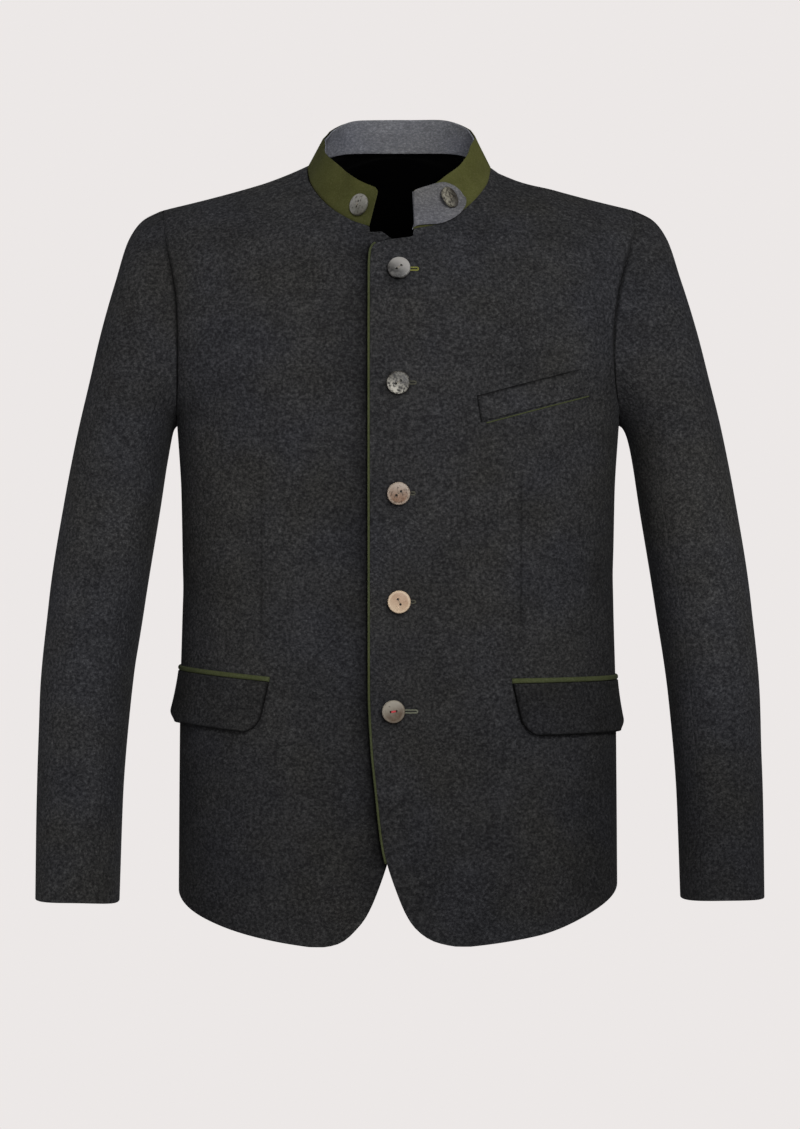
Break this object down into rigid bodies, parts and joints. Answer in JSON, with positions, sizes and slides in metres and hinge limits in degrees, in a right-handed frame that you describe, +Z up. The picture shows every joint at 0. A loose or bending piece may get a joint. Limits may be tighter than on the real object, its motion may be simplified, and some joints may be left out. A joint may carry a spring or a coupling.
{
  "type": "alpine jacket",
  "caption": "Hip-length grey wool alpine jacket with green stand collar, piped front edge, flap pockets and horn buttons, filled out as if worn.",
  "frame": {"origin": "middle of the neck opening, level with the high points of the shoulder seams, where the wearer holds the jacket up", "axes": "+Z up along the jacket's length, the front faces -Y, +X toward the wearer's left"},
  "size_m": [0.6978, 0.2453, 0.7956],
  "materials": {
    "wool": "charcoal melange fulled wool",
    "green_felt": "olive green wool felt",
    "collar_grey": "light grey melange wool",
    "horn": "mottled stag horn, satin"
  },
  "bodies": {
    "root": {"back": "wool", "left_front": "wool", "right_front": "wool", "top_sleeve_left": "wool", "top_sleeve_right": "wool", "under_sleeve_left": "wool", "under_sleeve_right": "wool", "pocket_flap_left": "wool", "pocket_flap_right": "wool", "chest_welt": "wool", "collar_outer": "green_felt", "front_piping": "green_felt", "flap_piping_left": "green_felt", "flap_piping_right": "green_felt", "chest_piping": "green_felt", "collar_inner": "collar_grey", "collar_tab": "collar_grey", "front_button_1": "horn", "front_button_2": "horn", "front_button_3": "horn", "front_button_4": "horn", "front_button_5": "horn", "collar_button_left": "horn", "collar_button_right": "horn"}
  },
  "joints": []
}
